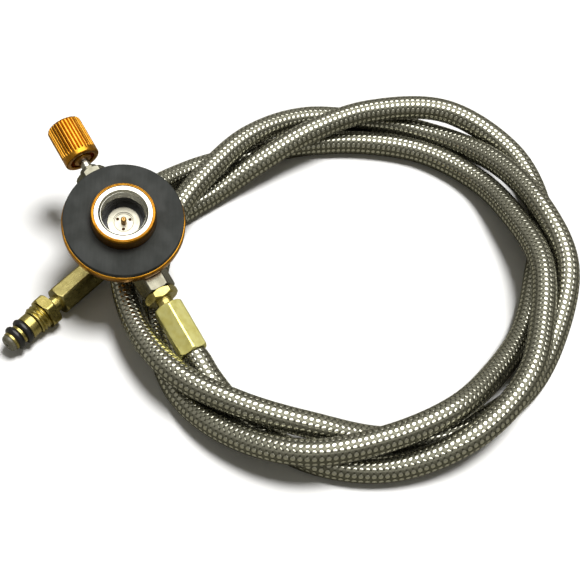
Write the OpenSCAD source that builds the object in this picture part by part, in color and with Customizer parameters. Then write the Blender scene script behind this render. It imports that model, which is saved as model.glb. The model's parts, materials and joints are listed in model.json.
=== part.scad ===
// Gas valve head for a screw-top canister, on a braided hose that ends in a two-seal plug.
// The origin is the mouth of the canister thread, with +Z straight up from the table that the hose lies on.

/* [Inlet] */
// Outer diameter of the rubber pad
pad_d = 29.6; // [26:0.1:34]
// Thickness of the rubber pad
pad_t = 1.6; // [1:0.1:3]
// Diameter of the cup's flange under the pad
flange_d = 30.4; // [27:0.1:36]
// Thickness of the cup's flange
flange_t = 2.5; // [1.6:0.1:4]
// Wall thickness of the collar
collar_t = 0.85; // [0.6:0.05:2]
// Height of the collar above the pad
collar_h = 4.2; // [3.4:0.1:7]
// Wall thickness of the insert at the canister thread
insert_t = 1.95; // [1.6:0.05:2.4]
// Bore of the canister thread, 7/16-28 UNEF
thread_d = 10.4; // [10.1:0.05:11]
// Length of the canister thread
thread_l = 3; // [2:0.1:3.4]
// Height of the pin above its carrier
pin_h = 2.3; // [1:0.1:2.6]
// Diameter of the pin that opens the canister
pin_d = 1.4; // [0.8:0.1:2]

/* [Valve] */
// Diameter of the valve barrel
barrel_d = 7.8; // [7.4:0.1:8.4]
// Length of the barrel from the inlet axis to the gland
barrel_back = 15.6; // [15:0.1:17]
// Length of the barrel from the inlet axis to the outlet
barrel_front = 12; // [11:0.1:14]
// Width across the flats of the gland nut
gland_af = 7.4; // [6.4:0.1:8]
// Length of the gland nut's hexagon
gland_l = 3.8; // [2.5:0.1:4.5]
// Diameter of the spindle's stem
stem_d = 2.7; // [2:0.1:3]
// Distance that the spindle moves when the knob turns from shut to open
valve_travel = 1.4; // [0.7:0.1:1.6]

/* [Knob] */
// Diameter of the knob over its ribs
knob_d = 9.2; // [8:0.1:12]
// Length of the knob
knob_l = 10.8; // [9:0.1:14]
// Number of ribs round the knob
knob_ribs = 30; // [20:1:36]
// Depth of the grooves between the ribs
rib_depth = 0.45; // [0.2:0.05:0.6]
// Length of the plain rim next to the stem
knob_rim = 1.9; // [1:0.1:2.5]
// Free length of stem between the gland nut and the knob
stem_show = 2.8; // [2:0.1:4]

/* [Hose fittings] */
// Width across the flats of the outlet nipple
nipple_af = 8; // [7.6:0.1:8.4]
// Length of the outlet nipple's hexagon
nipple_l = 5.9; // [4:0.1:7]
// Width across the flats of the hose tail's hexagon
tail_af = 7.6; // [7:0.1:8]
// Length of the hose tail's hexagon
tail_hex_l = 2.2; // [1.5:0.1:3]
// Diameter of the hose tail's neck
neck_d = 4.2; // [4:0.1:4.8]
// Length of neck that shows beside a ferrule
neck_l = 2; // [1:0.1:3]
// Width across the flats of the crimped ferrules
ferrule_af = 7; // [6.8:0.1:7.6]
// Length of the crimped ferrules
ferrule_l = 13.4; // [11:0.1:15]
// Outer diameter of the hose
hose_d = 6.4; // [6:0.1:6.5]

/* [Plug] */
// Width across the flats of the coupling nut
nut_af = 8; // [7.6:0.1:8.1]
// Length of the coupling nut's hexagon
nut_hex_l = 2.8; // [2:0.1:4]
// Diameter of the coupling nut's thread
nut_thread_d = 7.3; // [6.6:0.1:7.5]
// Length of the coupling nut's thread
nut_thread_l = 3; // [2:0.1:5]
// Diameter of the spigot behind the seals
spigot_d = 6.2; // [5.6:0.1:6.4]
// Length of the spigot behind the seals
spigot_l = 2.5; // [1.5:0.1:4]
// Outer diameter of the rear seal
rear_seal_d = 7; // [6.6:0.1:7.2]
// Outer diameter of the front seal
front_seal_d = 6.7; // [6.2:0.1:6.9]
// Thickness of both seals
seal_t = 1.8; // [1.4:0.1:1.9]
// Diameter of the nose
nose_d = 4.6; // [4:0.1:5]

/* [Hidden] */
$fn = 64;
fit = 0.02;              // radial play of a piece that is seated for good
run = 0.05;              // radial play of a piece that turns or slides
cap = 0.15;              // end play of the coupling nut
bevel = 0.4;             // broken edge of a hexagon

// Heights above the barrel's axis
flange_z = max(barrel_d, nipple_af) / 2 + 0.1;
floor_t = 1;                                   // floor of the cup, between the valve body and the insert
floor_z = flange_z + floor_t;
pad_z = flange_z + flange_t;
collar_z = pad_z + pad_t + collar_h;
insert_sink = 0.2;                             // the insert's top below the collar's
mouth_z = collar_z - insert_sink - 0.6;        // top of the thread, under its lead-in
lead_d = thread_d + 1.7;                       // width of the lead-in
undercut_d = thread_d + 0.8;
insert_d = thread_d + 2 * insert_t;
collar_d = insert_d + 2 * collar_t;
carrier_d = 8.2;
carrier_t = 1.1;
recess_d = 5.4;
recess_t = 0.3;
spigot_r = 2.6;                                // stub of the pin carrier in the valve body
filter_t = 0.7;
gas_hole_d = 0.8;
gas_way_r = 0.9;                               // gas passages
hub_d = 13;
neck_in_cup_d = 10.9;                          // stub of the valve body in the cup's floor

// Places along the barrel, from the inlet axis towards the outlet
washer_t = 0.5;
nipple_x = barrel_front + washer_t;
tail_x = nipple_x + nipple_l;
neck_x = tail_x + tail_hex_l;
ferrule_x = neck_x + neck_l;
hose_x = ferrule_x + ferrule_l;
nipple_screw = 5.2;                            // depth of the nipple's thread in the barrel
tail_screw = 4;                                // depth of the tail's thread in the nipple
screw_r = 2.6;
tail_screw_r = 2.2;

// The valve's needle and seat
seat_x = 1;
seat_r = 0.5;
chamber_x = -2.6;
chamber_r = 1.3;
guide_r = 1.9;
needle_r = 0.9;
gland_in = 1.4;                                // the gland nut's thread in the barrel
packing_t = 1;
gland_thread_r = 2.9;
packing_x = -(barrel_back - gland_in - packing_t);
shoulder_x = packing_x + valve_travel;         // the spindle's shoulder, shut
groove_x = chamber_x - 2.4;
ring_r = 0.33;
groove_r = guide_r - run - 2 * ring_r;

// The knob's places, counted the same way
gland_end = -(barrel_back + gland_l);
knob_in = gland_end - stem_show;
knob_out = knob_in - knob_l;
knob_floor = 2.3;                              // outer wall of the knob, which the screw holds
screw_head_r = 1.7;
screw_head_t = 1;
screw_r_in = 0.7;
screw_l = 3.6;

// The crimped ends
sleeve_r = ferrule_af / 2 - 0.7;               // bore of a ferrule behind its front wall
ferrule_wall = 1.2;
barb_r = 1.75;
stalk_r = 1.5;
tip_gap = 0.5;                                 // from a stalk's tip to the hose
stalk_l = ferrule_l - ferrule_wall - tip_gap;

// Places along the plug, from the hose's end
nut_x = ferrule_l + neck_l + 0.5;
thread_x = nut_x + nut_hex_l;
spigot_x = thread_x + nut_thread_l + cap;
rear_x = spigot_x + spigot_l;
land_t = 0.8;
front_x = rear_x + seal_t + land_t;
ring_x = front_x + seal_t;
ring_t = 0.7;
nose_x = ring_x + ring_t;
nose_l = 1.3;
land_r = 2.6;

// The head lies on its own hose, tilted towards the outlet
head_pos = [-55.1, 2.3, 19];                   // middle of the barrel, from the middle of the loops
head_heading = -58;
head_tilt = 17.5;
head_roll = 3;
plug_pos = [-64, 1.2, 4.7];                    // where the hose enters the plug's ferrule
plug_heading = 230;

// The hose's route round the loops, a step of the angle apart: distance from their middle and height
lie = 3.2;                                     // height of the centre where the hose lies on the table
over = 10.4;                                   // and where it lies on another turn
first_angle = 240;
angle_step = 20;
first_turn = [
    [49, lie], [54, lie], [57, 4], [58, 8.5], [56, over], [52, over],
    [50.5, over], [49, 7.5], [50.2, 4], [49.8, lie], [48, lie], [47.5, lie],
    [49, lie], [53.5, 5.5], [57, over], [56.5, 11], [55, 9.5], [53, 10.5]
];
second_turn = [
    [49.5, over], [48, 8.5], [49, 3.5], [53, lie], [55.5, lie], [56, 4],
    [57.5, 8.5], [55.5, over], [56.3, 7.5], [57.1, 3.5], [56, lie], [53.5, 7.5],
    [49.5, over], [46.5, over], [46.5, 9.5], [48, 6], [50, lie], [53.5, lie]
];
third_turn = [
    [55.5, 6.6], [56, 10], [52.5, over], [50.5, 10], [48, 6], [48.5, lie],
    [50.5, lie], [58, lie], [63.8, 4.8], [61.7, 9.4], [53.5, over], [45.5, over],
    [42.5, 7.5], [44.5, 3.5], [51, lie]
];
turns = concat(first_turn, second_turn, third_turn);
straight = 6.5;                                // straight hose at each ferrule
rings_per_step = 2;
hose_sides = 8;
flat_cut = hose_d / 10;                        // the hose's underside is flat where it lies
table_z = lie - hose_d / 2 + flat_cut;

// Turning a vector into the head's direction
function about_x(v, a) = [v.x, v.y * cos(a) - v.z * sin(a), v.y * sin(a) + v.z * cos(a)];
function about_y(v, a) = [v.x * cos(a) + v.z * sin(a), v.y, v.z * cos(a) - v.x * sin(a)];
function about_z(v, a) = [v.x * cos(a) - v.y * sin(a), v.x * sin(a) + v.y * cos(a), v.z];
function head_turn(v) = about_z(about_y(about_x(v, head_roll), head_tilt), head_heading);
mouth = head_pos + head_turn([0, 0, mouth_z]);
outlet_dir = head_turn([1, 0, 0]);
plug_dir = about_z([1, 0, 0], plug_heading);

// The route: its ends run straight, and the rest is a smooth curve through the stations
function station(i) = let (a = first_angle + angle_step * i)
    [turns[i][0] * cos(a), turns[i][0] * sin(a), turns[i][1]];
head_end = head_pos + head_turn([hose_x, 0, 0]);
stations = concat(
    [head_end, head_end + straight * outlet_dir],
    [for (i = [0:len(turns) - 1]) station(i)],
    [plug_pos - straight * plug_dir, plug_pos]);
function span(a, b) = sqrt(norm(b - a));
function leave(a, b, c) = ((b - a) / span(a, b) - (c - a) / (span(a, b) + span(b, c))
    + (c - b) / span(b, c)) * span(b, c);
function arrive(a, b, c) = ((c - b) / span(b, c) - (c - a) / (span(a, b) + span(b, c))
    + (b - a) / span(a, b)) * span(a, b);
function between(a, b, c, d, t) = (1 + 2 * t) * (1 - t) * (1 - t) * b + t * (1 - t) * (1 - t) * leave(a, b, c)
    + t * t * (3 - 2 * t) * c + t * t * (t - 1) * arrive(b, c, d);
function settle(p) = [p.x, p.y, max(p.z, lie)];
route = [
    stations[0],
    for (i = [1:len(stations) - 3], k = [0:rings_per_step - 1])
        settle(between(stations[i - 1], stations[i], stations[i + 1], stations[i + 2], k / rings_per_step)),
    stations[len(stations) - 2],
    stations[len(stations) - 1]
];

// Length of the route, and its least gap to itself past the bends of one stretch
route_length = norm_sum([for (i = [1:len(route) - 1]) norm(route[i] - route[i - 1])]);
function norm_sum(v, i = 0) = i < len(v) ? v[i] + norm_sum(v, i + 1) : 0;
function to_segment(p, a, b) = let (t = max(0, min(1, (p - a) * (b - a) / ((b - a) * (b - a)))))
    norm(p - a - t * (b - a));
neighbours = 5;
least_gap = min([for (i = [0:len(route) - 1], j = [0:len(route) - 2])
    if (abs(i - j) > neighbours) to_segment(route[i], route[j], route[j + 1])]) - hose_d;
echo(hose_length = route_length, least_gap = least_gap);

// Places a piece that is drawn about the barrel (+X to the outlet, +Z up the inlet) on the tilted head
module on_head() {
    translate(head_pos - mouth) rotate([head_roll, head_tilt, head_heading]) children();
}

// Places a piece that is drawn along +X from the hose's end on the plug
module on_plug() {
    translate(plug_pos - mouth) rotate([0, 0, plug_heading]) children();
}

// A turned piece from its half outline, each point as [distance along the axis, radius]
module turned_x(outline) {
    rotate([0, 90, 0]) rotate_extrude() polygon([for (p = outline) [p[1], p[0]]]);
}

module turned_z(outline) {
    rotate_extrude() polygon(outline);
}

// A hexagon bar along +X with broken edges at both ends; up turns it about its axis
module hex_x(x, l, af, edge = bevel, up = 0) {
    corner = af / 2 / cos(30);
    intersection() {
        translate([x, 0, 0]) rotate([up, 0, 0]) rotate([0, 90, 0]) cylinder(h = l, r = corner, $fn = 6);
        turned_x([[x, 0], [x, corner - edge], [x + edge, corner + 0.01], [x + l - edge, corner + 0.01],
                  [x + l, corner - edge], [x + l, 0]]);
    }
}

module bore_x(x, l, r) {
    translate([x, 0, 0]) rotate([0, 90, 0]) cylinder(h = l, r = r);
}

module seal_ring(major_r, minor_r) {
    rotate_extrude() translate([major_r, 0]) circle(r = minor_r, $fn = 32);
}

// A barbed stalk that holds the hose's end, from its tip at the origin to its root
module barbs(l) {
    count = 5;
    pitch = l / count;
    steep = 0.85 * pitch;
    turned_x(concat(
        [[0, 0]],
        [for (i = [0:count - 1]) let (x = i * pitch)
            each [[x, stalk_r], [x + steep, barb_r], [x + steep, stalk_r]]],
        [[l + bevel, stalk_r], [l + bevel, 0]]));
}

// A crimped ferrule along +X, its mouth at x for the hose or at x + ferrule_l
module ferrule(x, mouth_first, up) {
    wall_x = mouth_first ? x + ferrule_l - ferrule_wall : x;
    sleeve_x = mouth_first ? x - 1 : x + ferrule_wall;
    difference() {
        hex_x(x, ferrule_l, ferrule_af, 0.5, up);
        bore_x(wall_x - 1, ferrule_wall + 2, neck_d / 2 + fit);
        bore_x(sleeve_x, ferrule_l - ferrule_wall + 1, sleeve_r);
    }
}

// The end of the hose inside a ferrule, squeezed onto the barbs
module hose_end(x) {
    turned_x([[x, barb_r + fit], [x, sleeve_r - fit], [x + ferrule_l - ferrule_wall, sleeve_r - fit],
              [x + ferrule_l - ferrule_wall, barb_r + fit]]);
}

module inlet_cup() {
    r = collar_d / 2;
    edge = 0.35;
    color("goldenrod") on_head() turned_z([
        [neck_in_cup_d / 2 + fit, flange_z], [flange_d / 2 - edge, flange_z], [flange_d / 2, flange_z + edge],
        [flange_d / 2, pad_z - edge], [flange_d / 2 - edge, pad_z], [r, pad_z], [r, collar_z - edge],
        [r - edge, collar_z], [insert_d / 2 + fit, collar_z], [insert_d / 2 + fit, floor_z],
        [neck_in_cup_d / 2 + fit, floor_z]
    ]);
}

module thread_insert() {
    top = collar_z - insert_sink;
    color("gainsboro") on_head() turned_z([
        [undercut_d / 2, floor_z], [insert_d / 2, floor_z], [insert_d / 2, top - 0.2],
        [insert_d / 2 - 0.2, top], [lead_d / 2, top], [thread_d / 2, mouth_z],
        [thread_d / 2, mouth_z - thread_l],
        [undercut_d / 2, mouth_z - thread_l - (undercut_d - thread_d) / 2]
    ]);
}

module rubber_pad() {
    edge = 0.3;
    color("dimgray") on_head() turned_z([
        [collar_d / 2 + fit, pad_z], [pad_d / 2, pad_z], [pad_d / 2, pad_z + pad_t - edge],
        [pad_d / 2 - edge, pad_z + pad_t], [collar_d / 2 + fit, pad_z + pad_t]
    ]);
}

module inlet_seal() {
    t = 0.8;
    color("black") on_head() turned_z([
        [carrier_d / 2 + fit, floor_z], [undercut_d / 2 - fit, floor_z], [undercut_d / 2 - fit, floor_z + t],
        [carrier_d / 2 + fit, floor_z + t]
    ]);
}

module pin_carrier() {
    top = floor_z + carrier_t;
    hole_ring_r = 1.75;
    color("gainsboro") on_head() difference() {
        turned_z([
            [pin_d / 2 + fit, floor_z - floor_t], [spigot_r, floor_z - floor_t], [spigot_r, floor_z],
            [carrier_d / 2, floor_z], [carrier_d / 2, top - 0.15], [carrier_d / 2 - 0.15, top],
            [recess_d / 2, top], [recess_d / 2, top - recess_t], [pin_d / 2 + fit, top - recess_t]
        ]);
        for (a = [90:120:330]) rotate([0, 0, a]) translate([hole_ring_r, 0, floor_z - floor_t - 1])
            cylinder(h = carrier_t + floor_t + 2, d = gas_hole_d, $fn = 24);
    }
}

module actuator_pin() {
    foot = floor_z - floor_t;
    tip = floor_z + carrier_t - recess_t + pin_h;
    color("peru") on_head() turned_z([
        [0, foot], [pin_d / 2, foot], [pin_d / 2, tip - 0.3], [pin_d / 2 - 0.3, tip], [0, tip]
    ]);
}

module gas_filter() {
    color("tan") on_head() translate([0, 0, floor_z - floor_t - filter_t])
        cylinder(h = filter_t, r = spigot_r);
}

module valve_body() {
    filter_z = floor_z - floor_t - filter_t;
    color("silver") on_head() difference() {
        union() {
            turned_x([
                [-barrel_back, 0], [-barrel_back, barrel_d / 2 - bevel], [-barrel_back + bevel, barrel_d / 2],
                [barrel_front - bevel, barrel_d / 2], [barrel_front, barrel_d / 2 - bevel], [barrel_front, 0]
            ]);
            cylinder(h = flange_z, d = hub_d);
            cylinder(h = floor_z, d = neck_in_cup_d);
        }
        translate([0, 0, filter_z]) cylinder(h = floor_z, r = spigot_r + fit);
        cylinder(h = floor_z, r = gas_way_r);
        bore_x(chamber_x - 1, seat_x - chamber_x + 1, chamber_r);
        bore_x(-barrel_back - 1, barrel_back + chamber_x + 1, guide_r);
        bore_x(-barrel_back - 1, gland_in + packing_t + 1, gland_thread_r + fit);
        bore_x(0, barrel_front, seat_r + run);
        bore_x(seat_x + 1, barrel_front, gas_way_r);
        bore_x(barrel_front - nipple_screw - 0.4, barrel_front, screw_r + fit);
    }
}

module spindle_packing() {
    color("white") on_head() turned_x([
        [packing_x - packing_t, stem_d / 2 + run], [packing_x - packing_t, gland_thread_r],
        [packing_x, gland_thread_r], [packing_x, stem_d / 2 + run]
    ]);
}

module gland_nut() {
    color("silver") on_head() difference() {
        union() {
            hex_x(gland_end, gland_l, gland_af, bevel, 30);
            bore_x(gland_end + bevel, gland_l + gland_in - bevel, gland_thread_r);
        }
        bore_x(gland_end - 1, gland_l + gland_in + 2, stem_d / 2 + run);
    }
}

module valve_spindle() {
    tip_r = 0.15;
    tip_x = seat_x + 0.8;
    seal_x = groove_x + ring_r + run;
    back_x = groove_x - ring_r - run;
    end_x = knob_out + knob_floor;
    hole_r = screw_r_in + fit;
    hole_x = end_x + screw_l - (knob_floor - screw_head_t - 0.4) + 0.3;
    color("lightsteelblue") on_head() turned_x([
        [tip_x, 0], [tip_x, tip_r], [seat_x, seat_r], [seat_x - 0.9, needle_r], [chamber_x - 0.5, needle_r],
        [chamber_x - 0.5, guide_r - run], [seal_x, guide_r - run], [seal_x, groove_r], [back_x, groove_r],
        [back_x, guide_r - run], [shoulder_x, guide_r - run], [shoulder_x, stem_d / 2], [end_x, stem_d / 2],
        [end_x, hole_r], [hole_x, hole_r], [hole_x, 0]
    ]);
}

module spindle_o_ring() {
    color("black") on_head() translate([groove_x, 0, 0]) rotate([0, 90, 0])
        seal_ring(groove_r + ring_r + run / 2, ring_r);
}

module knob() {
    rim_x = knob_in - knob_rim;
    hollow_r = knob_d / 2 - 1.3;
    hollow_t = 1.9;
    boss_r = 2.3;
    rib_r = knob_d / 2;
    low_r = rib_r - rib_depth;
    step = 360 / knob_ribs;
    rib_edge = [[0, low_r], [0.18, rib_r], [0.56, rib_r], [0.74, low_r]];
    ribs = [for (i = [0:knob_ribs - 1], p = rib_edge)
        p[1] * [cos((i + p[0]) * step), sin((i + p[0]) * step)]];
    color("orange") on_head() difference() {
        union() {
            intersection() {
                translate([knob_out, 0, 0]) rotate([0, 90, 0]) linear_extrude(rim_x - knob_out) polygon(ribs);
                turned_x([[knob_out, 0], [knob_out, low_r - 0.3], [knob_out + 0.75, rib_r + 0.1],
                          [rim_x, rib_r + 0.1], [rim_x, 0]]);
            }
            turned_x([[rim_x, 0], [rim_x, low_r], [rim_x + 0.4, rib_r], [knob_in - 0.5, rib_r],
                      [knob_in, rib_r - 0.5], [knob_in, 0]]);
        }
        difference() {
            bore_x(knob_in - hollow_t, hollow_t + 1, hollow_r);
            bore_x(knob_in - hollow_t - 1, hollow_t + 1, boss_r);
        }
        bore_x(knob_out + knob_floor, knob_l, stem_d / 2 + fit);
        bore_x(knob_out - 1, knob_l, screw_r_in + fit);
        bore_x(knob_out - 1, screw_head_t + 1.4, screw_head_r + 0.15);
    }
}

module knob_screw() {
    seat = knob_out + screw_head_t + 0.4;
    slot_w = 0.4;
    color("silver") on_head() difference() {
        union() {
            turned_x([[seat - screw_head_t, 0], [seat - screw_head_t, screw_head_r - 0.3],
                      [seat - screw_head_t + 0.3, screw_head_r], [seat, screw_head_r], [seat, 0]]);
            bore_x(seat, screw_l, screw_r_in);
        }
        translate([seat - screw_head_t - 0.5, -slot_w / 2, -screw_head_r - 1])
            cube([1, slot_w, 2 * screw_head_r + 2]);
    }
}

module outlet_washer() {
    color("chocolate") on_head() turned_x([
        [barrel_front, screw_r + fit], [barrel_front, barrel_d / 2 - 0.2], [nipple_x, barrel_d / 2 - 0.2],
        [nipple_x, screw_r + fit]
    ]);
}

module outlet_nipple() {
    color("gainsboro") on_head() difference() {
        union() {
            hex_x(nipple_x, nipple_l, nipple_af, bevel, 30);
            bore_x(barrel_front - nipple_screw, nipple_screw + washer_t, screw_r);
        }
        bore_x(0, hose_x, gas_way_r);
        bore_x(tail_x - tail_screw - 0.4, nipple_l, tail_screw_r + fit);
    }
}

module hose_tail() {
    color("darkkhaki") on_head() difference() {
        union() {
            bore_x(tail_x - tail_screw, tail_screw + tail_hex_l / 2, tail_screw_r);
            hex_x(tail_x, tail_hex_l, tail_af, 0.6, 30);
            bore_x(neck_x - tail_hex_l / 2, tail_hex_l / 2 + neck_l + ferrule_wall, neck_d / 2);
            translate([hose_x - tip_gap, 0, 0]) mirror([1, 0, 0]) barbs(stalk_l);
        }
        bore_x(0, hose_x, gas_way_r);
    }
}

module head_ferrule() {
    color("khaki") on_head() ferrule(ferrule_x, false, 0);
}

module head_hose_end() {
    color("darkslategray") on_head() hose_end(ferrule_x + ferrule_wall);
}

// A tube of flat sides round the route, its underside level where it lies on the table
module hose() {
    last = len(route) - 1;
    centre = [for (p = route) p - mouth];
    along = [for (i = [0:last]) let (v = route[min(i + 1, last)] - route[max(i - 1, 0)]) v / norm(v)];
    side = [for (t = along) let (v = cross([0, 0, 1], t)) v / norm(v)];
    points = [for (i = [0:last], k = [0:hose_sides - 1])
        let (a = (k + 0.5) * 360 / hose_sides, up = cross(along[i], side[i]),
             p = centre[i] + hose_d / 2 * (cos(a) * side[i] + sin(a) * up))
        [p.x, p.y, max(p.z, table_z - mouth.z)]];
    walls = [for (i = [0:last - 1], k = [0:hose_sides - 1])
        let (a = i * hose_sides + k, b = i * hose_sides + (k + 1) % hose_sides)
        each [[a, b + hose_sides, b], [a, a + hose_sides, b + hose_sides]]];
    ends = [for (k = [1:hose_sides - 2]) each [[0, k, k + 1],
        [last * hose_sides, last * hose_sides + k + 1, last * hose_sides + k]]];
    color("gray") polyhedron(points, concat(walls, ends));
}

module plug_hose_end() {
    color("darkslategray") on_plug() hose_end(0);
}

module plug_ferrule() {
    color("darkkhaki") on_plug() ferrule(0, true, 30);
}

module plug_spigot() {
    rear_groove = rear_seal_d / 2 - seal_t;
    front_groove = front_seal_d / 2 - seal_t;
    color("darkkhaki") on_plug() difference() {
        union() {
            turned_x([
                [ferrule_l - ferrule_wall, 0], [ferrule_l - ferrule_wall, neck_d / 2], [spigot_x, neck_d / 2],
                [spigot_x, spigot_d / 2 - 0.3], [spigot_x + 0.3, spigot_d / 2], [rear_x - 0.2, spigot_d / 2],
                [rear_x, spigot_d / 2 - 0.2], [rear_x, rear_groove], [rear_x + seal_t, rear_groove],
                [rear_x + seal_t, land_r], [front_x, land_r], [front_x, front_groove], [ring_x, front_groove],
                [ring_x, land_r - 0.1], [nose_x - 0.15, land_r - 0.1], [nose_x, land_r - 0.25], [nose_x, 0]
            ]);
            translate([tip_gap, 0, 0]) barbs(stalk_l);
        }
        bore_x(0, nose_x + 1, gas_way_r);
    }
}

module coupling_nut() {
    color("darkkhaki") on_plug() difference() {
        union() {
            hex_x(nut_x, nut_hex_l, nut_af, 0.5, 30);
            turned_x([[nut_x + bevel, 0], [nut_x + bevel, nut_thread_d / 2],
                      [thread_x + nut_thread_l - bevel, nut_thread_d / 2],
                      [thread_x + nut_thread_l, nut_thread_d / 2 - bevel], [thread_x + nut_thread_l, 0]]);
        }
        bore_x(nut_x - 1, nut_hex_l + nut_thread_l + 2, neck_d / 2 + run);
    }
}

// A seal of the given outer diameter in the spigot's groove that starts at x
module plug_seal(x, d) {
    translate([x + seal_t / 2, 0, 0]) rotate([0, 90, 0]) seal_ring((d - seal_t) / 2, seal_t / 2 - fit);
}

module rear_o_ring() {
    color("black") on_plug() plug_seal(rear_x, rear_seal_d);
}

module front_o_ring() {
    color("black") on_plug() plug_seal(front_x, front_seal_d);
}

module plug_nose() {
    r = nose_d / 2;
    round_r = 0.9;
    stub_l = 2;
    color("dimgray") on_plug() turned_x(concat(
        [[nose_x - stub_l, 0.45], [nose_x - stub_l, gas_way_r - fit], [nose_x, gas_way_r - fit], [nose_x, r]],
        [for (a = [0:15:90]) [nose_x + nose_l - round_r + round_r * sin(a), r - round_r + round_r * cos(a)]],
        [[nose_x + nose_l, 0.45]]));
}

inlet_cup();
thread_insert();
rubber_pad();
inlet_seal();
pin_carrier();
actuator_pin();
gas_filter();
valve_body();
spindle_packing();
gland_nut();
valve_spindle();
spindle_o_ring();
knob();
knob_screw();
outlet_washer();
outlet_nipple();
hose_tail();
head_ferrule();
head_hose_end();
hose();
plug_hose_end();
plug_ferrule();
plug_spigot();
coupling_nut();
rear_o_ring();
front_o_ring();
plug_nose();
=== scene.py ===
import json
import math

import bpy
import numpy as np
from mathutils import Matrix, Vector

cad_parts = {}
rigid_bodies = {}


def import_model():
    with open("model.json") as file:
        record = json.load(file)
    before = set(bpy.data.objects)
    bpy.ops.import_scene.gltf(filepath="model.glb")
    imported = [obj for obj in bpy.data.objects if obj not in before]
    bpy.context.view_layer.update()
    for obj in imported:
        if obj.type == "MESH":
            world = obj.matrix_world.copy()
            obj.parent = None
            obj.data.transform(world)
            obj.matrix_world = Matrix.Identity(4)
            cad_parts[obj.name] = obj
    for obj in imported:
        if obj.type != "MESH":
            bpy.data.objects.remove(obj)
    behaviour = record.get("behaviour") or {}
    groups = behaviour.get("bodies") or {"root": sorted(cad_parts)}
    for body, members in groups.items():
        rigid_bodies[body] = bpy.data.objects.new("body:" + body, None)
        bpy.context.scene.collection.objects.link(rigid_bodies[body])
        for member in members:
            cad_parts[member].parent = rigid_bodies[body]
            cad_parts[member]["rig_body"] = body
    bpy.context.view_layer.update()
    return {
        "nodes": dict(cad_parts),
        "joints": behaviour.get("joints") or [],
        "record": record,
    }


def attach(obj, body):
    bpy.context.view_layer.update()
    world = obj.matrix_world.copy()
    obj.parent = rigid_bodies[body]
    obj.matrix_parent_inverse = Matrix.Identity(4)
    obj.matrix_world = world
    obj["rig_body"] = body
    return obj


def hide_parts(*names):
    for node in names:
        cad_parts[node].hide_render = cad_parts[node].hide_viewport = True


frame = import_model()
print("frame loaded:", len(frame["nodes"]), "nodes")

mm = 0.001
joints = {joint["name"]: joint for joint in frame["joints"]}
mounts = {mount["name"]: mount for mount in frame["record"]["mounts"]}


def unit(vector):
    vector = np.array(vector, float)
    return vector / np.linalg.norm(vector)


def axes(origin, along, first):
    # origin in mm, the axis that a piece is turned about, and the two directions across it
    along = unit(along)
    first = unit(first - along * (along @ first))
    return {"origin": np.array(origin, float), "along": along, "first": first,
            "second": np.cross(along, first)}


def extent(node, about):
    # how far a CAD node reaches along an axis, and its greatest and least distance from it, in mm
    vertices = frame["nodes"][node].data.vertices
    points = np.empty(len(vertices) * 3)
    vertices.foreach_get("co", points)
    relative = points.reshape(-1, 3) / mm - about["origin"]
    reach = relative @ about["along"]
    away = np.linalg.norm(relative - reach[:, None] * about["along"], axis=1)
    return {"low": reach.min(), "high": reach.max(), "radius": away.max(), "bore": away.min()}


inletDir = unit(mounts["canister_inlet"]["axis"])
outletDir = -unit(joints["knob_turn"]["axis"])
plugDir = unit(joints["nut_turn"]["axis"])
upwards = np.array([0.0, 0.0, 1.0])
valveMiddle = np.array(joints["knob_turn"]["pos_m"]) / mm

barrelAxes = axes(valveMiddle, outletDir, np.cross(inletDir, outletDir))
inletAxes = axes(valveMiddle, inletDir, outletDir)
plugAxes = axes(np.array(joints["nut_turn"]["pos_m"]) / mm, plugDir, np.cross(upwards, plugDir))
plugAxes["origin"] = plugAxes["origin"] + plugDir * extent("plug_hose_end", plugAxes)["low"]
headFerrule = extent("head_ferrule", barrelAxes)

# camera: looks at the middle of the coil and the head together, from a distance in mm
cameraView = {"target": (40.27, -1.02, -30.05), "distance": 310.0, "elevation": 54.0, "lens": 73.55,
              "nearest": 0.01, "farthest": 20}


def makeCamera(view):
    camera = bpy.data.objects.new("camera", bpy.data.cameras.new("camera"))
    bpy.context.scene.collection.objects.link(camera)
    angle = math.radians(view["elevation"])
    back = Vector((0, -math.cos(angle), math.sin(angle)))
    camera.location = (Vector(view["target"]) + back * view["distance"]) * mm
    camera.rotation_euler = (-back).to_track_quat("-Z", "Y").to_euler()
    camera.data.lens = view["lens"]
    camera.data.clip_start = view["nearest"]
    camera.data.clip_end = view["farthest"]
    bpy.context.scene.camera = camera


makeCamera(cameraView)
print("camera placed")


# node helpers

fineDetail = 4.0                     # octaves of the noise behind fine marks


def put(tree, socket, value):
    # a link from another node's output, or else a value of the socket's own
    if isinstance(value, bpy.types.NodeSocket):
        tree.links.new(value, socket)
    elif socket.type == "RGBA":
        socket.default_value = (*value, 1)
    else:
        socket.default_value = value


def fill(tree, node, inputs):
    for key, value in inputs.items():
        put(tree, node.inputs[key], value)


def add(tree, kind, inputs=None, **settings):
    node = tree.nodes.new(kind)
    for key, value in settings.items():
        setattr(node, key, value)
    fill(tree, node, inputs or {})
    return node


def startFinish(name, metallic):
    finish = bpy.data.materials.new(name)
    finish.use_nodes = True
    shader = finish.node_tree.nodes["Principled BSDF"]
    shader.inputs["Metallic"].default_value = metallic
    return finish, finish.node_tree, shader


def calc(tree, operation, *values):
    node = add(tree, "ShaderNodeMath", operation=operation)
    for socket, value in zip(node.inputs, values):
        put(tree, socket, value)
    return node.outputs[0]


def squared(tree, value):
    return calc(tree, "POWER", value, 2.0)


def choose(tree, share, first, second):
    return add(tree, "ShaderNodeMix", {"Factor": share, 2: first, 3: second}, data_type="FLOAT").outputs[0]


def blendColours(tree, share, first, second):
    return add(tree, "ShaderNodeMix", {"Factor": share, 6: first, 7: second}, data_type="RGBA").outputs[2]


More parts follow.
